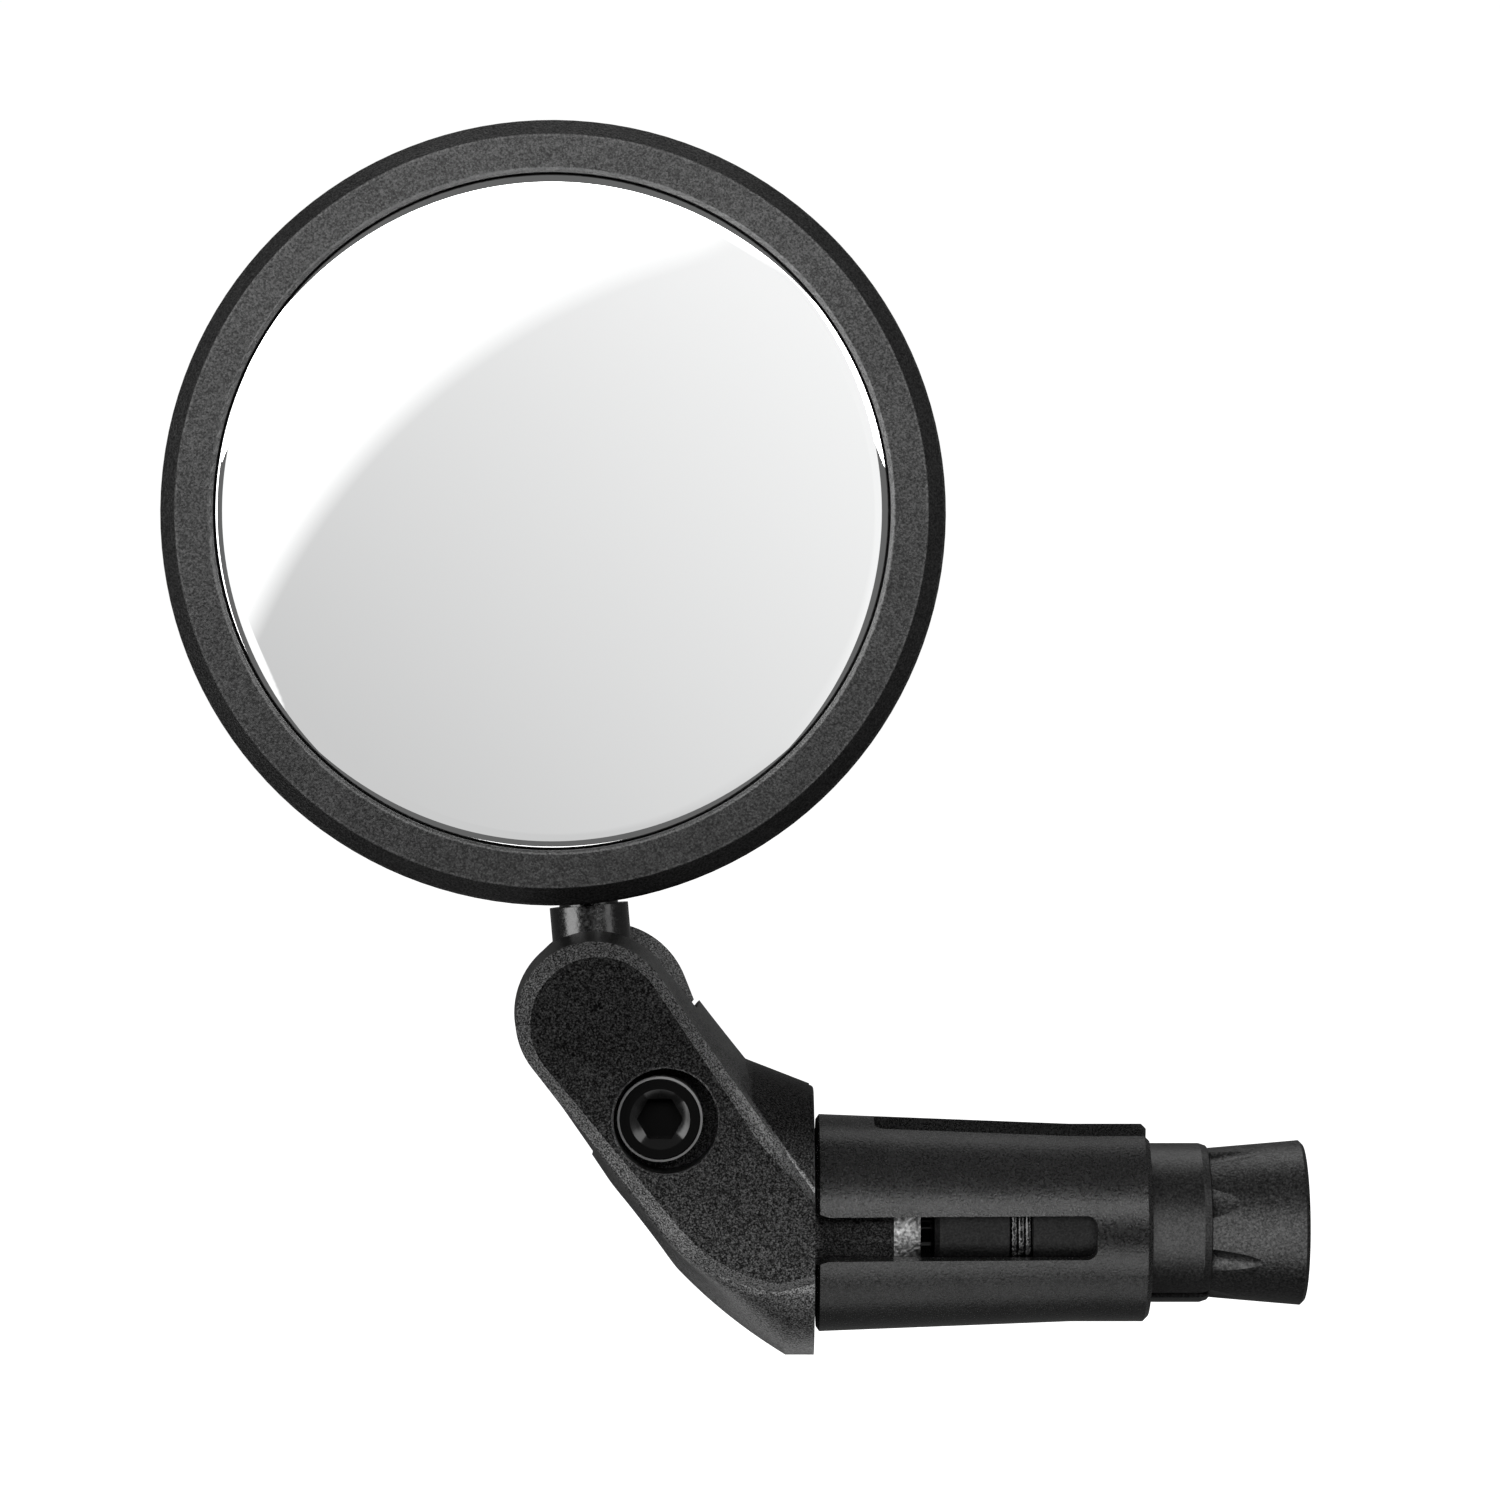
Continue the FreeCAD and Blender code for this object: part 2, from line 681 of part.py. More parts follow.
def make_arm_body():
    """Drafted arm with its flange and spigot, the front jaw, and the bolt seats."""
    body = new_body("arm_body")
    front, edge, wall, rear, back = arm_levels()
    smooth = [draw_level(body, f"arm_wall_{n}", level) for n, level in enumerate([edge, *wall, rear])]
    loft(body, smooth, ruled=False)
    face = draw_level(body, "arm_front", front)
    loft(body, [smooth[0], face], ruled=True)
    back_face = draw_level(body, "arm_back", back)
    loft(body, [smooth[-1], back_face], ruled=True)

    rim = new_sketch(body, "flange_rim", "XZ_Plane")
    turned_off = size.flange_round
    outer = size.flange_radius + size.flange_rise
    draw_outline(rim, [
        (-turned_off, outer), (0, outer - turned_off), (2, outer - turned_off),
        (2, outer + 2), (-turned_off, outer + 2),
    ], {0: (turned_off, True)})
    turn(body, rim, cut=True)

    spigot = new_sketch(body, "spigot", "YZ_Plane")
    draw_circle(spigot, 0, 0, size.spigot_radius)
    extrude(body, spigot, size.spigot_length)

    bore = new_sketch(body, "plug_bore", "XZ_Plane")
    shank = size.wedge_shank + 0.02
    draw_outline(bore, [
        (-35, 0), (size.spigot_length + 1, 0), (size.spigot_length + 1, shank),
        (size.wedge_shank_start, shank), (size.wedge_shank_start, size.bolt_clearance),
        (-size.key_recess_floor, size.bolt_clearance),
        (-size.key_recess_floor, size.key_recess_radius), (-35, size.key_recess_radius),
    ])
    turn(body, bore, cut=True)

    slot = new_sketch(body, "stem_slot", "XZ_Plane", size.jaw_gap)
    low, high = floor_point(-25.0), floor_point(9.0)
    draw_outline(slot, [low, high, (high[0], 45), (-45, 45), (-45, low[1])])
    extrude(body, slot, 30, cut=True)
    cut_ball(body, "ball_seat", size.ball_across, size.ball_height,
             size.ball_radius + size.running_gap)

    tongue = new_sketch(body, "tongue_pocket", "XZ_Plane", -size.jaw_gap)
    tongue_outline(tongue, size.tongue_half + size.part_gap, 12.0)
    extrude(body, tongue, 12, cut=True, flip=False)

    seat = new_sketch(body, "counterbore", "XZ_Plane", size.counterbore_floor)
    draw_circle(seat, size.counterbore_across, size.counterbore_height, size.counterbore_radius)
    extrude(body, seat, 10, cut=True, flip=True)
    mouth = body.newObject("PartDesign::SubtractiveCone", "counterbore_mouth")
    bind(mouth, "Radius1", size.counterbore_radius)
    bind(mouth, "Radius2", size.counterbore_radius + size.counterbore_chamfer * 2)
    bind(mouth, "Height", size.counterbore_chamfer * 2)
    depth = SIZES["front_face"] - SIZES["counterbore_chamfer"]
    mouth.Placement = Placement(
        Vector(SIZES["counterbore_across"], -depth, SIZES["counterbore_height"]),
        Rotation(Vector(1, 0, 0), 90))
    finish_feature(body, mouth)
    hole = new_sketch(body, "clamp_hole", "XZ_Plane")
    draw_circle(hole, size.clamp_across, size.clamp_height, size.bolt_clearance)
    extrude(body, hole, 40, cut=True, both=True)
    return body


def tongue_outline(sketch, half, length):
    """A strip from the clamp bolt towards the ball, round at the bolt's end."""
    rise = SIZES["ball_height"] - SIZES["clamp_height"]
    run = SIZES["ball_across"] - SIZES["clamp_across"]
    span = math.hypot(rise, run)
    along = (run / span, rise / span)
    across = (-along[1], along[0])
    centre = (size.clamp_across, size.clamp_height)
    corners = [
        tuple(centre[axis] + half * (across[axis] * side) + along[axis] * reach for axis in (0, 1))
        for side, reach in ((1, 0), (-1, 0), (-1, length), (1, length))
    ]
    draw_outline(sketch, corners, {0: (half * 1.0001, False)})


def make_rear_clamp():
    """Rear jaw: a cap over the ball with a tongue that reaches past the clamp bolt."""
    body = new_body("rear_clamp")
    cap = new_sketch(body, "cap", "XZ_Plane", -size.jaw_gap)
    centre = Vector(SIZES["ball_across"] + SIZES["cap_shift"], SIZES["ball_height"], 0)
    radius = SIZES["cap_radius"]
    low = Vector(*floor_point(-17.9, SIZES["part_gap"]), 0)
    high = Vector(*floor_point(0.0, SIZES["part_gap"]), 0)
    right = tangent_point(high, centre, radius, 1)
    left = tangent_point(low, centre, radius, -1)
    angles = [math.atan2(p.y - centre.y, p.x - centre.x) for p in (right, left)]
    for edge in (
        Part.LineSegment(high, right),
        Part.ArcOfCircle(Part.Circle(centre, Vector(0, 0, 1), radius), angles[0], angles[1]),
        Part.LineSegment(left, low),
        Part.LineSegment(low, high),
    ):
        cap.addGeometry(edge)
    constrain(cap, "Tangent", 0, 2, 1, 1)
    constrain(cap, "Tangent", 1, 2, 2, 1)
    constrain(cap, "Coincident", 2, 2, 3, 1)
    constrain(cap, "Coincident", 3, 2, 0, 1)
    fix_point(cap, 0, 1, high.x, high.y)
    fix_point(cap, 3, 1, low.x, low.y)
    fix_point(cap, 1, 3, size.ball_across + size.cap_shift, size.ball_height)
    constrain(cap, "Radius", 1, size=size.cap_radius)
    block = extrude(body, cap, size.rear_face - size.jaw_gap, flip=True, taper=-6)
    soften_rear(body, block, 1.1)
    tongue = new_sketch(body, "tongue", "XZ_Plane", -size.jaw_gap - 0.1)
    tongue_outline(tongue, size.tongue_half, 11.0)
    extrude(body, tongue, size.tongue_face - size.jaw_gap, flip=True)
    cut_ball(body, "cap_seat", size.ball_across, size.ball_height,
             size.ball_radius + size.running_gap)
    hole = new_sketch(body, "cap_hole", "XZ_Plane")
    draw_circle(hole, size.clamp_across, size.clamp_height, size.bolt_clearance)
    extrude(body, hole, 40, cut=True, both=True)
    pocket = new_sketch(body, "captive_pocket", "XZ_Plane", -size.tongue_face)
    draw_hexagon(pocket, size.nut_width, size.clamp_across, size.clamp_height)
    extrude(body, pocket, size.nut_height, cut=True, flip=True)
    return body


def soften_rear(body, block, amount):
    """Rounds the rim of the block's rearmost face."""
    faces = block.Shape.Faces
    rear = max(range(len(faces)), key=lambda index: faces[index].CenterOfMass.y)
    feature = body.newObject("PartDesign::Fillet", f"{body.Name}_rounding")
    feature.Base = (block, [f"Face{rear + 1}"])
    feature.Radius = amount
    return finish_feature(body, feature)


BACKWARD = Rotation(Vector(0, 0, 1), 90)


def make_clamp_fasteners():
    bolt = cap_screw("clamp_bolt", size.bolt_radius, size.head_radius, size.head_height,
                     size.clamp_length, size.key_width, size.key_depth)
    place(bolt, (size.clamp_across, -size.counterbore_floor, size.clamp_height), BACKWARD)
    nut = hex_nut("clamp_nut", size.nut_width - 0.02, size.nut_height,
                  size.bolt_radius + size.running_gap)
    place(nut, (size.clamp_across, size.tongue_face - size.nut_height, size.clamp_height), BACKWARD)


# ---------------------------------------------------------------- ball and stem

def make_ball():
    body = new_body("ball")
    ball = body.newObject("PartDesign::AdditiveSphere", "ball_solid")
    bind(ball, "Radius", size.ball_radius)
    finish_feature(body, ball)
    place(body, (size.ball_across, 0, size.ball_height))


def along_stem():
    """Turns a piece drawn along X so that it points up the leaning stem."""
    return Rotation(Vector(0, 1, 0), -90 - SIZES["lean"])


def make_stem():
    """Short round stem, cupped over the ball, with the pivot that the head turns on."""
    hole = size.stem_screw_radius + 0.02
    bottom = size.pivot_end - size.stem_screw_length + 0.4
    body = turned("stem", [
        (5, 0), (bottom, 0), (bottom, hole), (size.pivot_end, hole),
        (size.pivot_end, size.pivot_radius), (size.stem_shoulder, size.pivot_radius),
        (size.stem_shoulder, size.stem_radius), (5, size.stem_radius),
    ])
    cut_ball(body, "cup", 0, 0, size.ball_radius + size.running_gap)
    place(body, (size.ball_across, 0, size.ball_height), along_stem())
    washer = flat_washer("stem_washer", hole, size.stem_washer_radius, size.stem_washer_thickness)
    screw = cap_screw("stem_screw", size.stem_screw_radius, size.stem_screw_head,
                      size.stem_screw_height, size.stem_screw_length, Size(2.5, "2.5"),
                      Size(1.2, "1.2"))
    lean = math.radians(SIZES["lean"])
    for piece, reach, turned_by in (
        (washer, size.pivot_end, along_stem()),
        (screw, size.pivot_end + size.stem_washer_thickness, along_stem() * Rotation(0, 180, 0)),
    ):
        place(piece, (size.ball_across - reach * math.sin(lean), 0,
                      size.ball_height + reach * math.cos(lean)), turned_by)


# ---------------------------------------------------------------- mirror head

def place_head(body):
    """The head's middle, up the leaning stem from the ball; its own X axis points back."""
    lean = math.radians(SIZES["lean"])
    reach = size.head_distance
    tilt = Rotation(Vector(0, 1, 0), -SIZES["lean"])
    place(body, (size.ball_across - reach * math.sin(lean), size.head_depth,
                 size.ball_height + reach * math.cos(lean)), tilt * BACKWARD)


def make_bezel():
    """Front ring: rounded lip, flat, chamfer, and a seat over the backing plate's edge."""
    seat = size.plate_front - 0.1
    flat = size.bezel_front
    body = turned("bezel_ring", [
        (seat, size.lip_radius), (flat + size.lip_round, size.lip_radius),
        (flat, size.lip_radius + size.lip_round), (flat, size.bezel_flat_radius),
        (size.bezel_chamfer_back, size.bezel_radius), (size.seam, size.bezel_radius),
        (size.seam, size.plate_radius + 0.2), (seat, size.plate_radius + 0.2),
    ], {1: (size.lip_round, True)})
    place_head(body)


def dome_radius(edge, rise):
    """Radius of a dome, centred on the axis, from its edge radius and its rise."""
    return (edge * edge + rise * rise) / (rise * 2)


def make_glass():
    """Convex glass with a ground edge, the foam pad behind it and their backing plate."""
    edge = size.glass_edge
    back = edge + size.glass_thickness
    rise = size.glass_rise
    ground = size.glass_radius - 0.3
    body = turned("mirror_glass", [
        (edge - rise, 0), (back - rise, 0), (back, size.glass_radius),
        (edge + 0.3, size.glass_radius), (edge, ground),
    ], {
        1: (dome_radius(size.glass_radius, rise), True),
        4: (dome_radius(ground, rise), False),
    })
    place_head(body)
    behind = back + 0.03
    pad = turned("glass_pad", [
        (behind - rise, 0), (size.plate_front, 0), (size.plate_front, size.pad_radius),
        (behind, size.pad_radius),
    ], {3: (dome_radius(size.pad_radius, rise), False)})
    place_head(pad)
    plate = turned("backing_plate", [
        (size.plate_front, 0), (size.seam, 0), (size.seam, size.plate_radius),
        (size.plate_front, size.plate_radius),
    ])
    place_head(plate)


def make_rear_shell():
    """Hollow rear housing with a solid rim, a low dome and a boss for the stem's pivot."""
    rim = size.rim_radius
    front = size.seam
    shoulder = size.shell_shoulder
    apex = size.shell_apex
    rise = size.shell_rise
    edge = rim - size.shell_round
    inside = size.shell_inner - 3
    floor = apex - size.shell_wall
    body = turned("rear_shell", [
        (front, size.shell_inner), (shoulder - 1, size.shell_inner),
        (floor - rise, inside), (floor, 0), (apex, 0),
        (apex - rise, edge), (shoulder - 2.2, rim - 0.2), (front + 0.4, rim),
        (front, rim - 0.4),
    ], {
        2: (dome_radius(inside, rise), True), 4: (dome_radius(edge, rise), False),
        5: (size.shell_round * 1.15, False),
    })
    boss = new_sketch(body, "stem_boss", "YZ_Plane", front + 0.1)
    half = size.boss_half
    draw_outline(boss, [
        (-half, -38), (half, -38), (half, -size.boss_top), (-half, -size.boss_top),
    ])
    extrude(body, boss, 10)
    bore = new_sketch(body, "pivot_bore", "XY_Plane")
    draw_circle(bore, -size.head_depth, 0, size.pivot_radius + size.running_gap)
    extrude(body, bore, 45, cut=True)
    place_head(body)


# ---------------------------------------------------------------- check and export

def check_and_export():
    doc.recompute()
    for thing in doc.Objects:
        if any(word in thing.State for word in ("Invalid", "Error")):
            raise RuntimeError(f"{thing.Label} failed: {thing.State}")
    os.makedirs("parts", exist_ok=True)
    for body in pieces:
        shape = body.Shape
        if shape.isNull() or not shape.isValid() or len(shape.Solids) != 1:
            raise RuntimeError(f"{body.Label} is not one valid solid")
        shape.exportStep(f"parts/{body.Label}.step")
        box = shape.optimalBoundingBox(False, False)
        print(f"{body.Label:16s} {shape.Volume:9.1f} mm3  "
              f"X {box.XMin:7.2f} {box.XMax:7.2f}  Y {box.YMin:7.2f} {box.YMax:7.2f}  "
              f"Z {box.ZMin:7.2f} {box.ZMax:7.2f}")


make_adapter_sleeve()
make_collet_sleeve()
make_collet_ring()
make_inner_wedge()
make_end_wedge()
make_expander()
make_arm_body()
make_rear_clamp()
make_clamp_fasteners()
make_ball()
make_stem()
make_bezel()
make_glass()
make_rear_shell()
check_and_export()
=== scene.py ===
"""Looks of a bar-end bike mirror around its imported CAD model. Blender 4.5, metres, row frame.

The camera looks along +Y at the glass. Every CAD node keeps its own mesh, with its edges rounded
a little, and gets a procedural finish. The convex glass is turned again here as a finer dome.
"""

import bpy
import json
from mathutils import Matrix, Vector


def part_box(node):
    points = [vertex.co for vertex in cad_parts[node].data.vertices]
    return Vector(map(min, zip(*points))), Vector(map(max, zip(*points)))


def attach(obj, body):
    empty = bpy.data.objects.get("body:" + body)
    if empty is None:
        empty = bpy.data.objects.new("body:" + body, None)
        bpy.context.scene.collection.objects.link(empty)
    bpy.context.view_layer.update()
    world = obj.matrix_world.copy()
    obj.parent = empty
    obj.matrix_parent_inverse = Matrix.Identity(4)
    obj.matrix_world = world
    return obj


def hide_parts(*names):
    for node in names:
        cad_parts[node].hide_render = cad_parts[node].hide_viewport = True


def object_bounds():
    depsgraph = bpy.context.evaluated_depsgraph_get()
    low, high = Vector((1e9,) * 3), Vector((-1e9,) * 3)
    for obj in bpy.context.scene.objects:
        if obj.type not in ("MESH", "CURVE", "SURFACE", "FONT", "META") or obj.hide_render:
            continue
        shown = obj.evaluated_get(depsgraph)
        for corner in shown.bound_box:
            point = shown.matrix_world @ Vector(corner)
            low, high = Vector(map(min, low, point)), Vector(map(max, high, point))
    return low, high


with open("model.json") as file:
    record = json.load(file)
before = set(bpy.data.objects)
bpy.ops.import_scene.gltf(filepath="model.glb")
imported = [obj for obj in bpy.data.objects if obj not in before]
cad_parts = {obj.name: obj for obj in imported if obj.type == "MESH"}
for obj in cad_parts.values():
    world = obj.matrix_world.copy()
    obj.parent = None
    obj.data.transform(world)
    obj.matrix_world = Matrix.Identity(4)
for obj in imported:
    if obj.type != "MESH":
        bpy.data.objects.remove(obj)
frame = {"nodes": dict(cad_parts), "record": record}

import json
import math

import bpy
from mathutils import Vector

CAD_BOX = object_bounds()
NODES = frame["nodes"]

# Camera: the photograph's framing, 1500 x 1500.
CAMERA_DISTANCE = 0.5
VIEW_WIDTH = 0.15244
VIEW_CENTRE_X = -0.00645
VIEW_CENTRE_Z = 0.048
SENSOR = 0.036

# Stage.
FLOOR_DROP = 0.045
FLOOR_SIZE = 12.0
ROOM_CENTRE = Vector((-0.01, 0.0, 0.04))
ROOM_LIGHT = 0.13

# Convex glass.
GLASS_RISE = 0.0007
GLASS_BEVEL = 0.0001

# Width of the small rounding on each piece's edges, in metres.
EDGE_ROUNDING = {
    "adapter_sleeve": 0.00012,
    "arm_body": 0.00016,
    "bezel_ring": 0.00012,
    "clamp_bolt": 0.00009,
    "collet_sleeve": 0.0001,
    "end_wedge": 0.0001,
    "rear_clamp": 0.00016,
    "rear_shell": 0.0001,
    "stem": 0.0001,
}

# Pieces whose finish differs from the rest of their material slot.
OWN_FINISH = {
    "bezel_ring": "bezel_black",
    "clamp_bolt": "rim_highlight_steel",
    "collet_sleeve": "collet_black",
    "rear_clamp": "jaw_black",
}

# Across and up, in metres.
CLAMP_BOLT_AXIS = (-0.0154, 0.0113)
BEVEL_ARC_CENTRE = (-0.0028, 0.0095)


# ---------------------------------------------------------------- shader helpers

class Finish:
    """A Principled material with short ways to add the nodes that vary it over a surface."""

    def __init__(self, name, colour, roughness, metallic=0.0, specular=0.5):
        self.material = bpy.data.materials.new(name)
        self.material.use_nodes = True
        self.tree = self.material.node_tree
        self.shader = self.tree.nodes["Principled BSDF"]
        self.set("Base Color", (*colour, 1.0))
        self.set("Roughness", roughness)
        self.set("Metallic", metallic)
        self.set("Specular IOR Level", specular)
        self.place = self.tree.nodes.new("ShaderNodeTexCoord").outputs["Object"]

    def set(self, socket, value):
        self.shader.inputs[socket].default_value = value

    def link(self, source, socket):
        target = self.shader.inputs[socket] if isinstance(socket, str) else socket
        self.tree.links.new(source, target)

    def scaled(self, scale):
        """Object coordinates stretched by a factor along each axis."""
        node = self.tree.nodes.new("ShaderNodeMapping")
        node.inputs["Scale"].default_value = scale
        self.link(self.place, node.inputs["Vector"])
        return node.outputs["Vector"]

    def noise(self, size, detail=2.0, roughness=0.5, place=None):
        """Noise whose features are about size metres across."""
        node = self.tree.nodes.new("ShaderNodeTexNoise")
        node.inputs["Scale"].default_value = 1.0 / size
        node.inputs["Detail"].default_value = detail
        node.inputs["Roughness"].default_value = roughness
        self.link(place or self.place, node.inputs["Vector"])
        return node.outputs["Fac"]

    def cells(self, size):
        """A random level from 0 to 1 in each cell, size metres across."""
        node = self.tree.nodes.new("ShaderNodeTexVoronoi")
        node.inputs["Scale"].default_value = 1.0 / size
        self.link(self.place, node.inputs["Vector"])
        parts = self.tree.nodes.new("ShaderNodeSeparateColor")
        self.link(node.outputs["Color"], parts.inputs["Color"])
        return parts.outputs["Red"]

    def remap(self, source, low, high, to_low, to_high):
        node = self.tree.nodes.new("ShaderNodeMapRange")
        for socket, value in zip(("From Min", "From Max", "To Min", "To Max"), (low, high, to_low, to_high)):
            node.inputs[socket].default_value = value
        self.link(source, node.inputs["Value"])
        return node.outputs["Result"]

    def mix(self, factor, first, second):
        """Colour between first and second; each is a colour or a socket."""
        node = self.tree.nodes.new("ShaderNodeMix")
        node.data_type = "RGBA"
        self.link(factor, node.inputs["Factor"])
        for socket, value in ((node.inputs[6], first), (node.inputs[7], second)):
            if isinstance(value, bpy.types.NodeSocket):
                self.link(value, socket)
            else:
                socket.default_value = (*value, 1.0)
        return node.outputs[2]

    def multiply(self, first, second):
        node = self.tree.nodes.new("ShaderNodeMath")
        node.operation = "MULTIPLY"
        self.link(first, node.inputs[0])
        self.link(second, node.inputs[1])
        return node.outputs[0]

    def bump(self, height, distance, strength=1.0, over=None):
        """Bump from a height of 0 to 1, distance metres high, on top of another bump."""
        node = self.tree.nodes.new("ShaderNodeBump")
        node.inputs["Strength"].default_value = strength
        node.inputs["Distance"].default_value = distance
        self.link(height, node.inputs["Height"])
        if over is not None:
            self.link(over, node.inputs["Normal"])
        self.link(node.outputs["Normal"], "Normal")
        return node.outputs["Normal"]

    def normal(self, name):
        """One component of the surface's own normal, before any bump."""
        node = self.tree.nodes.new("ShaderNodeNewGeometry")
        parts = self.tree.nodes.new("ShaderNodeSeparateXYZ")
        self.link(node.outputs["True Normal"], parts.inputs["Vector"])
        return parts.outputs[name]

    def blend(self, factor, first, second):
        """Number between first and second, both sockets."""
        node = self.tree.nodes.new("ShaderNodeMix")
        node.data_type = "FLOAT"
        self.link(factor, node.inputs["Factor"])
        self.link(first, node.inputs[2])
        self.link(second, node.inputs[3])
        return node.outputs[0]

    def plus(self, first, second):
        node = self.tree.nodes.new("ShaderNodeMath")
        node.operation = "ADD"
        self.link(first, node.inputs[0])
        self.link(second, node.inputs[1])
        return node.outputs[0]

    def away_from(self, point):
        """Distance from a line through the point along Y."""
        node = self.tree.nodes.new("ShaderNodeVectorMath")
        node.operation = "DISTANCE"
        node.inputs[1].default_value = (point[0], 0.0, point[1])
        self.link(self.scaled((1.0, 0.0, 1.0)), node.inputs[0])
        return node.outputs["Value"]

    def axis(self, name):
        node = self.tree.nodes.new("ShaderNodeSeparateXYZ")
        self.link(self.place, node.inputs["Vector"])
        return node.outputs[name]


def grey(level):
    return (level, level, level)


# ---------------------------------------------------------------- finishes

def blasted(name, tone, roughness, grain, contrast, specular=0.5, metallic=0.0, painted_light=None, relief=0.5):
    """Bead-blasted coating: fine light grain over a dark ground, with a faint cloud in it."""
    finish = Finish(name, grey(tone), roughness, metallic, specular)
    fine = finish.noise(grain * 1.6, 1.0, 0.5)
    level = finish.multiply(
        finish.remap(finish.cells(grain), 0.0, 1.0, 1.0 - contrast, 1.0 + contrast),
        finish.remap(fine, 0.35, 0.65, 1.0 - contrast, 1.0 + contrast))
    cloud = finish.remap(finish.noise(0.005, 3.0), 0.3, 0.7, 0.92, 1.08)
    level = finish.multiply(level, cloud)
    # Where a function is given here, it paints light and shade into the colour and the specular level.
    if painted_light is not None:
        level = finish.multiply(level, painted_light(finish))
    finish.link(finish.remap(level, 0.0, 2.0, 0.0, specular * 2.0), "Specular IOR Level")
    scale = finish.tree.nodes.new("ShaderNodeVectorMath")
    scale.operation = "SCALE"
    scale.inputs[0].default_value = grey(tone)
    finish.link(level, scale.inputs["Scale"])
    finish.link(scale.outputs["Vector"], "Base Color")
    finish.link(finish.remap(fine, 0.3, 0.7, roughness - 0.07, roughness + 0.07), "Roughness")
    finish.bump(fine, grain * relief, 0.8)
    return finish.material


def painted_arm_light(finish):
    """Painted light on the arm: its front is painted darker towards the ball, its bevel and walls get a painted sheen,
    less on top, and it is painted darker inside the sleeve.
    """
    # Painted shade: the front is painted darker towards the top and lighter below.
    front = finish.remap(finish.axis("Z"), 0.018, -0.002, 0.17, 0.5)
    across, up = finish.axis("X"), finish.axis("Z")
    near_flange = finish.remap(across, -0.009, -0.006, 0.0, 1.0)
    past_bevel = finish.plus(finish.remap(across, -0.01, 0.0, -0.0138, 0.0), up)
    # Painted shade on the walls above and below the bevel near the flange, where they face left or up, and outside the
    # bevel's arc.
    above = finish.multiply(finish.remap(past_bevel, 0.0042, 0.0046, 0.0, 0.87), near_flange)
    below = finish.multiply(finish.remap(up, -0.0058, -0.0062, 0.0, 0.5), near_flange)
    leftward = finish.multiply(finish.remap(finish.normal("X"), -0.8, -0.4, 0.6, 0.0),
                               finish.remap(finish.normal("Y"), -0.5, -0.35, 0.0, 1.0))
    upward = finish.multiply(finish.remap(finish.normal("Z"), 0.7, 0.9, 0.0, 0.6),
                             finish.remap(across, -0.009, -0.006, 1.0, 0.0))
    outside = finish.multiply(finish.remap(finish.away_from(BEVEL_ARC_CENTRE), 0.01545, 0.0158, 0.0, 0.45),
                              finish.remap(up, 0.0015, 0.0, 0.0, 1.0))
    outside = finish.multiply(outside, finish.remap(across, -0.009, -0.006, 1.0, 0.0))
    # Painted sheen: the walls just past the bevel near the flange are painted up to twice as bright.
    painted_bevel_sheen = finish.multiply(finish.remap(past_bevel, 0.0026, 0.0031, 0.0, 0.8), near_flange)
    sides = finish.remap(finish.normal("Y"), -0.5, -0.3, 1.0, 0.85)
    sides = finish.multiply(sides, finish.remap(painted_bevel_sheen, 0.0, 1.0, 1.0, 2.0))
    # Each of these painted-shade masks darkens the walls.
    for painted_dark in (above, below, leftward, outside, upward):
        sides = finish.multiply(sides, finish.remap(painted_dark, 0.0, 1.0, 1.0, 0.0))
    facing = finish.remap(finish.normal("Y"), -0.995, -0.965, 0.0, 1.0)
    shade = finish.blend(facing, front, sides)
    # Painted shade: the part inside the sleeve is painted half as bright.
    inside = finish.remap(finish.axis("X"), 0.0003, 0.0008, 1.0, 0.5)
    return finish.multiply(shade, inside)


def painted_shade_inside(finish):
    """The split collet is painted darker where it sits inside the sleeve, as painted shade."""
    return finish.remap(finish.axis("X"), 0.0336, 0.0339, 0.3, 1.0)


def painted_rim_highlight(name):
    """Glossy black steel with a painted highlight on its outer rim."""
    finish = Finish(name, grey(0.004), 0.12, 0.0, 0.6)
    # Painted highlight: a thin bright ring on the head's rim.
    rim = finish.remap(finish.away_from(CLAMP_BOLT_AXIS), 0.00400, 0.00406, 0.0, 1.0)
    finish.link(finish.mix(rim, grey(0.004), grey(0.28)), "Base Color")
    finish.link(finish.remap(rim, 0.0, 1.0, 0.12, 0.4), "Roughness")
    return finish.material


def painted_top_light(finish):
    """Painted light from above: the head's ring is painted darker at the bottom and lighter at the top."""
    return finish.remap(finish.axis("Z"), 0.03, 0.11, 0.6, 1.15)


def lit_ring(finish):
    """Painted light on the bezel: its outer chamfer is painted darker than its flat, as painted shade, with painted
    highlight lines at both edges.
    """
    low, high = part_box("bezel_ring")
    reach = finish.away_from(((low.x + high.x) / 2, (low.z + high.z) / 2))
    # Painted shade on the chamfer.
    chamfer = finish.remap(reach, 0.0377, 0.0378, 1.0, 0.4)
    level = finish.multiply(painted_top_light(finish), chamfer)
    # Painted highlights: a bright line at the lip and another at the chamfer's edge.
    level = finish.multiply(level, finish.remap(reach, 0.0343, 0.03445, 2.6, 1.0))
    return finish.multiply(level, finish.remap(reach, 0.03745, 0.03755, 1.0, 1.3))


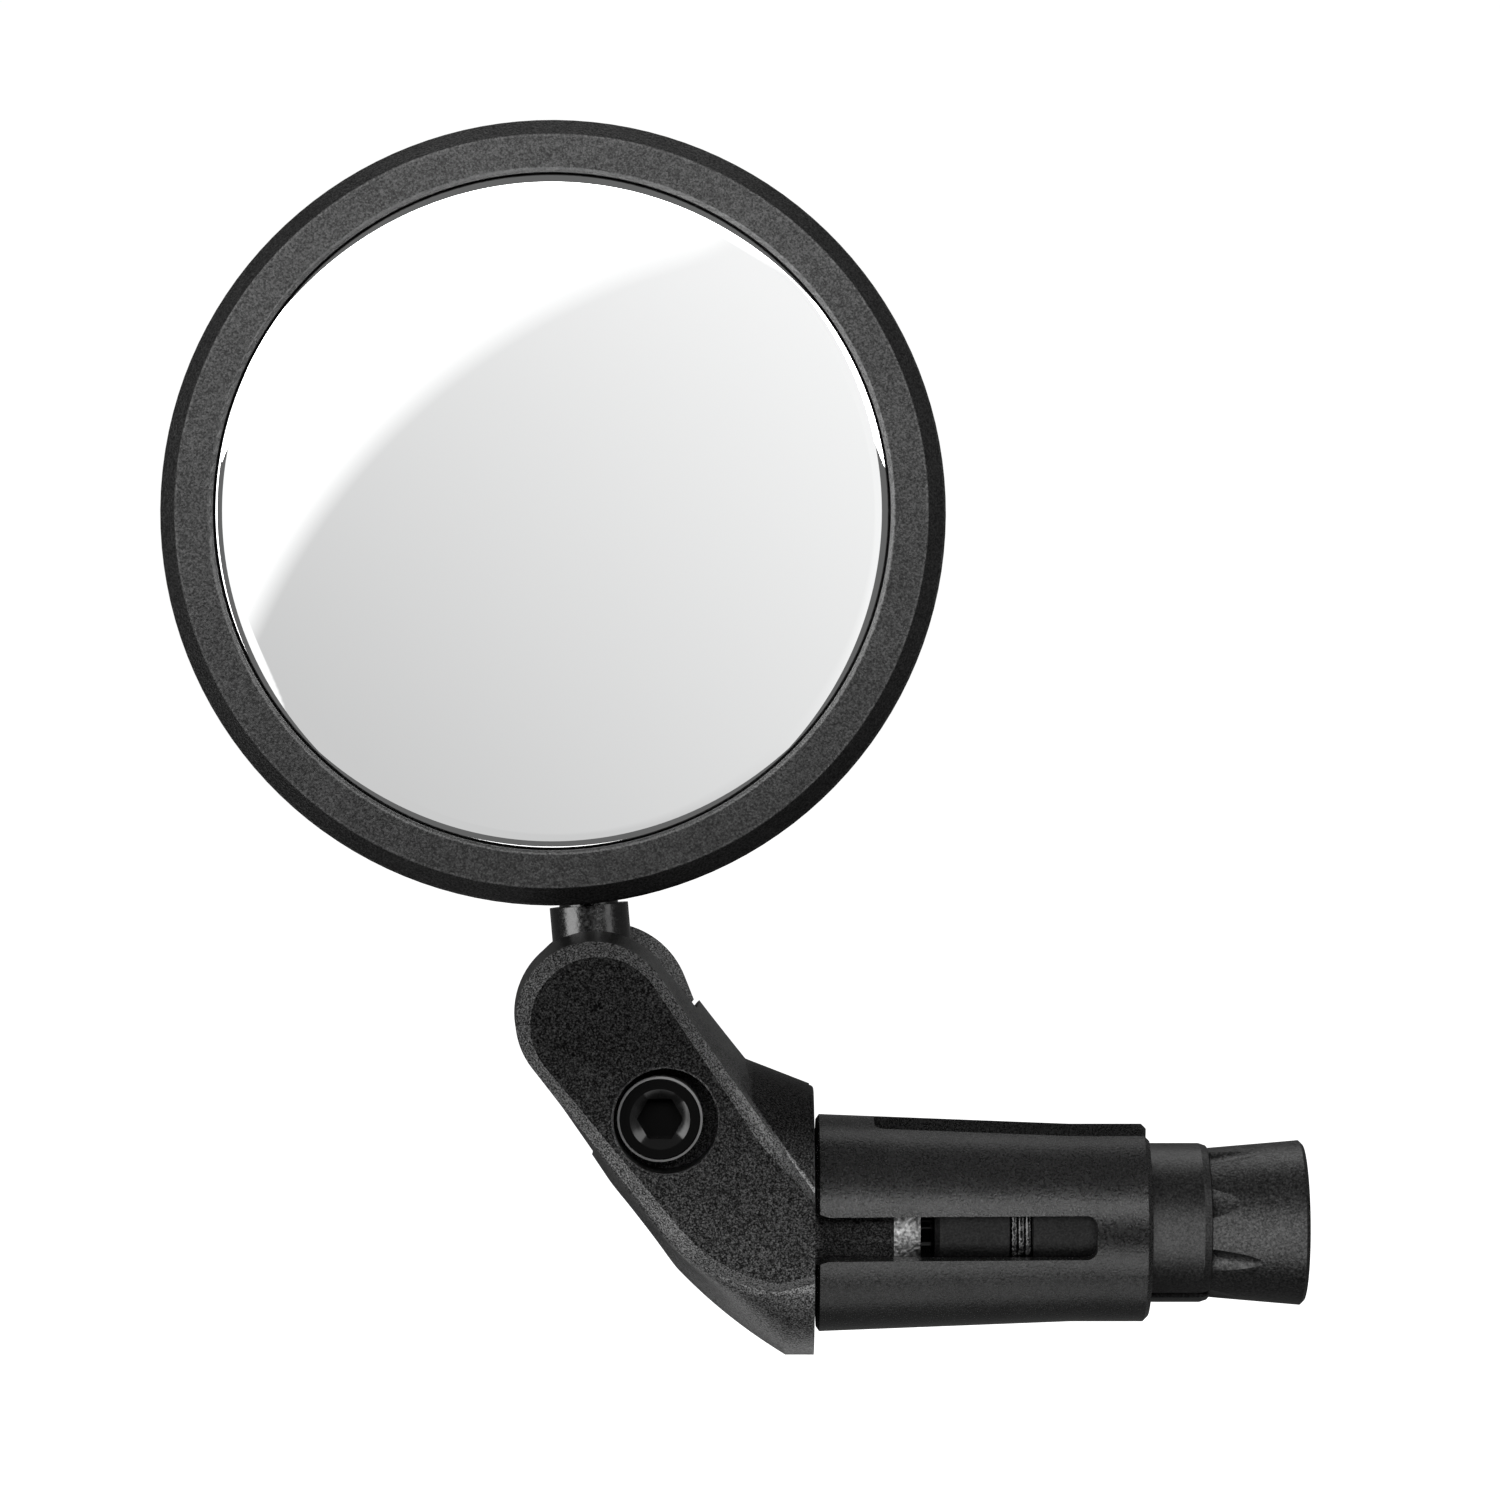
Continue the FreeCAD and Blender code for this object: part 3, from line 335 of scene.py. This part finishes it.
def make_finishes():
    return {
        "arm_black": blasted("arm_black", 0.026, 0.36, 0.00011, 0.75, 0.85, 0.0, painted_arm_light),
        "jaw_black": blasted("jaw_black", 0.026, 0.36, 0.00011, 0.5, 0.85),
        "head_black": blasted("head_black", 0.018, 0.42, 0.00016, 0.3, 0.55, 0.0, painted_top_light),
        "bezel_black": blasted("bezel_black", 0.018, 0.42, 0.00013, 0.3, 0.55, 0.0, lit_ring),
        "sleeve_black": blasted("sleeve_black", 0.008, 0.3, 0.00014, 0.2, 0.5, relief=0.25),
        "collet_black": blasted("collet_black", 0.006, 0.42, 0.00014, 0.25, 0.55, 0.0, painted_shade_inside, 0.25),
        "wedge_black": blasted("wedge_black", 0.006, 0.42, 0.00016, 0.35, 0.55, relief=0.3),
        "black_steel": Finish("black_steel", grey(0.004), 0.12, 0.0, 0.6).material,
        "rim_highlight_steel": painted_rim_highlight("rim_highlight_steel"),
        "stem_metal": blasted("stem_metal", 0.085, 0.24, 0.0002, 0.06, 0.5, 1.0, relief=0.1),
        "zinc_steel": blasted("zinc_steel", 0.5, 0.3, 0.0003, 0.2, 0.5, 1.0),
        "ring_steel": blasted("ring_steel", 0.08, 0.25, 0.0003, 0.2, 0.5, 1.0),
        "bare_casting": blasted("bare_casting", 0.36, 0.42, 0.0003, 0.4, 0.5, 1.0),
        "foam_pad": blasted("foam_pad", 0.01, 0.9, 0.0004, 0.3, 0.2),
        "backing_plastic": blasted("backing_plastic", 0.01, 0.5, 0.0003, 0.2, 0.5),
        "glass_edge": blasted("glass_edge", 0.02, 0.5, 0.0003, 0.2, 0.5),
        "mirror_glass": Finish("mirror_glass", (0.97, 0.975, 0.975), 0.015, 1.0).material,
    }


def dress(finishes):
    """Gives every CAD node the finish of its own material slot."""
    for entry in frame["record"]["subparts"]:
        piece = NODES[entry["node"]]
        piece.data.materials.clear()
        piece.data.materials.append(finishes[OWN_FINISH.get(piece.name, entry["material_slot"])])
        sharpen(piece, 24)
        if piece.name in EDGE_ROUNDING:
            round_edges(piece, EDGE_ROUNDING[piece.name], 24)


def sharpen(piece, angle):
    """Shades each face on its own wherever two meet at more than the angle, in degrees."""
    bpy.ops.object.select_all(action="DESELECT")
    piece.select_set(True)
    bpy.context.view_layer.objects.active = piece
    bpy.ops.mesh.customdata_custom_splitnormals_clear()
    piece.data.shade_smooth()
    piece.data.set_sharp_from_angle(angle=math.radians(angle))


def round_edges(piece, width, angle):
    """Small rounded edges wherever two faces meet at more than the angle, in degrees."""
    bevel = piece.modifiers.new("edges", "BEVEL")
    bevel.width = width
    bevel.segments = 2
    bevel.limit_method = "ANGLE"
    bevel.angle_limit = math.radians(angle)
    bevel.use_clamp_overlap = True
    bevel.harden_normals = True


# ---------------------------------------------------------------- turned pieces

def lathe(name, profile, origin, axis, segments=256):
    """Smooth mesh turned round an axis. The profile is a list of (distance along, radius)."""
    along = Vector(axis).normalized()
    side = along.orthogonal().normalized()
    up = along.cross(side)
    points = []
    rings = []
    for reach, radius in profile:
        centre = Vector(origin) + along * reach
        if radius == 0:
            rings.append([len(points)])
            points.append(centre)
            continue
        rings.append(range(len(points), len(points) + segments))
        for step in range(segments):
            angle = math.tau * step / segments
            points.append(centre + (side * math.cos(angle) + up * math.sin(angle)) * radius)
    faces = []
    for first, second in zip(rings, rings[1:]):
        for step in range(segments):
            after = (step + 1) % segments
            corners = [first[step % len(first)], first[after % len(first)],
                       second[after % len(second)], second[step % len(second)]]
            faces.append(list(dict.fromkeys(corners)))
    mesh = bpy.data.meshes.new(name)
    mesh.from_pydata(points, [], faces)
    mesh.shade_smooth()
    piece = bpy.data.objects.new(name, mesh)
    bpy.context.scene.collection.objects.link(piece)
    return piece


def make_mirror(finish, edge_finish):
    """The convex glass again as a fine dome, so that what it reflects is not broken up."""
    low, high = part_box("mirror_glass")
    radius = (high.x - low.x) / 2
    curve = (radius * radius + GLASS_RISE * GLASS_RISE) / (2 * GLASS_RISE)
    front = []
    steps = 24
    ground = radius - GLASS_BEVEL
    for step in range(steps + 1):
        reach = ground * step / steps
        front.append((curve - math.sqrt(curve * curve - reach * reach), reach))
    bevel_start = front[-1][0]
    thick = high.y - low.y
    front += [(bevel_start + GLASS_BEVEL * 0.35, radius - GLASS_BEVEL * 0.3),
              (bevel_start + GLASS_BEVEL, radius), (thick - 0.0002, radius),
              (thick - 0.0001, radius - 0.0001), (thick - GLASS_RISE * 0.5, radius * 0.7),
              (thick - GLASS_RISE, 0)]
    middle = (low + high) / 2
    glass = lathe("mirror_dome", front, (middle.x, low.y, middle.z), (0, 1, 0))
    glass.data.materials.append(finish)
    glass.data.materials.append(edge_finish)
    for face in glass.data.polygons:
        if math.hypot(face.center.x - middle.x, face.center.z - middle.z) > ground * 0.999 or face.center.y > middle.y:
            face.material_index = 1
    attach(glass, "head")
    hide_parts("mirror_glass")
    return glass


# ---------------------------------------------------------------- stage

def make_world():
    """White for the camera, and a dim even room for the object, which the soft boxes light."""
    world = bpy.data.worlds.new("studio")
    bpy.context.scene.world = world
    world.use_nodes = True
    tree = world.node_tree
    tree.nodes.clear()
    room = tree.nodes.new("ShaderNodeBackground")
    room.inputs["Color"].default_value = (*grey(ROOM_LIGHT), 1.0)
    white = tree.nodes.new("ShaderNodeBackground")
    white.inputs["Color"].default_value = (*grey(1.0), 1.0)
    white.inputs["Strength"].default_value = 1.02
    path = tree.nodes.new("ShaderNodeLightPath")
    either = tree.nodes.new("ShaderNodeMixShader")
    tree.links.new(path.outputs["Is Camera Ray"], either.inputs["Fac"])
    tree.links.new(room.outputs["Background"], either.inputs[1])
    tree.links.new(white.outputs["Background"], either.inputs[2])
    out = tree.nodes.new("ShaderNodeOutputWorld")
    tree.links.new(either.outputs["Shader"], out.inputs["Surface"])


def make_floor():
    """Pale floor, bright enough to meet the white background without a line."""
    bpy.ops.mesh.primitive_plane_add(size=FLOOR_SIZE, location=(0, 0, CAD_BOX[0].z - FLOOR_DROP))
    floor = bpy.context.object
    floor.name = "floor"
    finish = Finish("pale_floor", grey(0.8), 0.8, 0.0, 0.0)
    finish.set("Emission Color", (*grey(1.0), 1.0))
    finish.set("Emission Strength", 1.0)
    floor.data.materials.append(finish.material)
    floor.visible_diffuse = False
    floor.visible_glossy = False


def softbox(name, azimuth, elevation, distance, width, height, radiance, only=None, but=None):
    """Rectangular soft light. Azimuth 0 is the camera's side and 90 is the right, in degrees.

    only names the pieces that it lights, and but names the pieces that it leaves out.
    """
    turn, lift = math.radians(azimuth), math.radians(elevation)
    way = Vector((math.sin(turn) * math.cos(lift), -math.cos(turn) * math.cos(lift), math.sin(lift)))
    data = bpy.data.lights.new(name, "AREA")
    data.shape = "RECTANGLE"
    data.size = width
    data.size_y = height
    data.energy = radiance * math.pi * width * height
    lamp = bpy.data.objects.new(name, data)
    lamp.location = ROOM_CENTRE + way * distance
    lamp.rotation_euler = way.to_track_quat("Z", "Y").to_euler()
    bpy.context.scene.collection.objects.link(lamp)
    named = only or but
    if named:
        receivers = bpy.data.collections.new(f"{name}_receivers")
        for piece in named:
            receivers.objects.link(NODES[piece])
        for entry in receivers.collection_objects:
            entry.light_linking.link_state = "INCLUDE" if only else "EXCLUDE"
        lamp.light_linking.receiver_collection = receivers


def make_lights():
    tube = ["collet_sleeve", "end_wedge"]
    sleeve = ["adapter_sleeve"]
    casting = ["arm_body", "rear_clamp"]
    stem = ["stem"]
    softbox("key", 0, 18.5, 1.0, 1.3, 0.30, 7.0, but=tube + stem)
    softbox("left", -54, -4, 1.0, 0.70, 1.5, 3.6, but=casting)
    softbox("right", 58, 6, 1.0, 0.34, 1.5, 2.2, but=stem)
    softbox("below_front", 0, -42, 1.0, 1.0, 0.45, 3.2, but=tube + sleeve)
    softbox("below", 0, -80, 1.0, 1.0, 0.5, 0.8, but=tube + casting)
    softbox("top_back", 180, 68, 1.0, 1.0, 0.4, 1.5, but=tube + sleeve + casting)
    softbox("stem_key", 0, 18.5, 1.0, 1.3, 0.34, 5.5, only=stem)
    softbox("stem_right", 58, 6, 1.0, 0.34, 1.5, 1.1, only=stem)
    softbox("sleeve_key", 0, 18, 0.8, 1.05, 0.30, 2.2, only=sleeve)
    softbox("sleeve_low", 0, -42, 1.0, 1.0, 0.45, 2.1, only=sleeve)
    softbox("sleeve_top", 180, 68, 1.0, 1.0, 0.4, 0.9, only=sleeve)
    softbox("tube_front", 0, -14, 0.8, 0.8, 1.2, 2.3, only=tube)
    softbox("tube_top", 180, 68, 1.0, 1.0, 0.7, 1.6, only=tube)
    softbox("casting_left", -54, -4, 1.0, 0.70, 1.5, 0.7, only=casting)
    softbox("bevel_low", -60, -42, 1.0, 0.6, 0.6, 1.6, only=casting)
    softbox("casting_right", 58, 6, 1.0, 0.34, 1.5, 1.5, only=casting)
    softbox("under_low", 0, -66, 1.0, 1.2, 0.35, 1.1, only=casting)
    softbox("behind_low", 180, -56, 1.0, 1.2, 0.9, 0.95, only=casting)


def make_camera():
    data = bpy.data.cameras.new("camera")
    data.sensor_width = SENSOR * 1000
    data.lens = SENSOR * 1000 * CAMERA_DISTANCE / VIEW_WIDTH
    data.clip_start = 0.01
    data.clip_end = 50.0
    camera = bpy.data.objects.new("camera", data)
    camera.location = (VIEW_CENTRE_X, -CAMERA_DISTANCE, VIEW_CENTRE_Z)
    camera.rotation_euler = (math.pi / 2, 0, 0)
    bpy.context.scene.collection.objects.link(camera)
    bpy.context.scene.camera = camera


def make_reflector():
    """A round grey panel on a white card, standing behind the camera: what the glass reflects."""
    glass_low, glass_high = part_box("mirror_glass")
    middle = (glass_low + glass_high) / 2
    half = (glass_high.x - glass_low.x) / 2
    bend = half * half / (2 * GLASS_RISE)
    eye = Vector((VIEW_CENTRE_X, -CAMERA_DISTANCE, VIEW_CENTRE_Z))
    reach = 0.9
    to_eye = glass_low.y - eye.y
    spread = 1 + reach / to_eye + 2 * reach / bend
    centre_x = middle.x + reach * (middle.x - eye.x) / to_eye
    centre_z = middle.z + reach * (middle.z - eye.z) / to_eye
    place_y = glass_low.y - reach

    bpy.ops.mesh.primitive_plane_add(size=1, location=(centre_x, place_y, centre_z), rotation=(-math.pi / 2, 0, 0))
    card = bpy.context.object
    card.name = "reflector"
    card.scale = (0.8, 0.8, 1)
    material = bpy.data.materials.new("reflector")
    material.use_nodes = True
    tree = material.node_tree
    tree.nodes.clear()
    place = tree.nodes.new("ShaderNodeNewGeometry")
    away = tree.nodes.new("ShaderNodeVectorMath")
    away.operation = "DISTANCE"
    away.inputs[1].default_value = (centre_x + spread * 0.0315, place_y, centre_z - spread * 0.0396)
    tree.links.new(place.outputs["Position"], away.inputs[0])
    inside = tree.nodes.new("ShaderNodeMapRange")
    inside.inputs["From Min"].default_value = spread * 0.0665
    inside.inputs["From Max"].default_value = spread * 0.0688
    tree.links.new(away.outputs["Value"], inside.inputs["Value"])
    parts = tree.nodes.new("ShaderNodeSeparateXYZ")
    tree.links.new(place.outputs["Position"], parts.inputs["Vector"])
    slope = tree.nodes.new("ShaderNodeMath")
    slope.operation = "ADD"
    tree.links.new(parts.outputs["X"], slope.inputs[0])
    tree.links.new(parts.outputs["Z"], slope.inputs[1])
    fade = tree.nodes.new("ShaderNodeMapRange")
    fade.inputs["From Min"].default_value = centre_x + centre_z - spread * 0.045
    fade.inputs["From Max"].default_value = centre_x + centre_z + spread * 0.045
    fade.inputs["To Min"].default_value = 0.61
    fade.inputs["To Max"].default_value = 0.93
    tree.links.new(slope.outputs[0], fade.inputs["Value"])
    steep = tree.nodes.new("ShaderNodeMath")
    steep.operation = "MULTIPLY_ADD"
    lean = -0.868
    tree.links.new(parts.outputs["X"], steep.inputs[0])
    steep.inputs[1].default_value = lean
    tree.links.new(parts.outputs["Z"], steep.inputs[2])
    upper_left = tree.nodes.new("ShaderNodeMapRange")
    upper_left.inputs["From Min"].default_value = centre_z + lean * centre_x + spread * 0.0105
    upper_left.inputs["From Max"].default_value = centre_z + lean * centre_x + spread * 0.0135
    tree.links.new(steep.outputs[0], upper_left.inputs["Value"])
    outside = tree.nodes.new("ShaderNodeMath")
    outside.operation = "MULTIPLY"
    tree.links.new(inside.outputs["Result"], outside.inputs[0])
    tree.links.new(upper_left.outputs["Result"], outside.inputs[1])
    mix = tree.nodes.new("ShaderNodeMix")
    mix.data_type = "FLOAT"
    tree.links.new(outside.outputs[0], mix.inputs["Factor"])
    tree.links.new(fade.outputs["Result"], mix.inputs[2])
    mix.inputs[3].default_value = 1.06
    glow = tree.nodes.new("ShaderNodeEmission")
    tree.links.new(mix.outputs[0], glow.inputs["Strength"])
    out = tree.nodes.new("ShaderNodeOutputMaterial")
    tree.links.new(glow.outputs["Emission"], out.inputs["Surface"])
    card.data.materials.append(material)
    card.visible_camera = False
    card.visible_diffuse = False
    card.visible_shadow = False
    takers = bpy.data.collections.new("reflector_takers")
    takers.objects.link(bpy.data.objects["mirror_dome"])
    card.light_linking.receiver_collection = takers


make_camera()
make_world()
make_floor()
make_lights()
FINISHES = make_finishes()
dress(FINISHES)
make_mirror(FINISHES["mirror_glass"], FINISHES["glass_edge"])
make_reflector()
bpy.context.scene.view_settings.view_transform = "Standard"
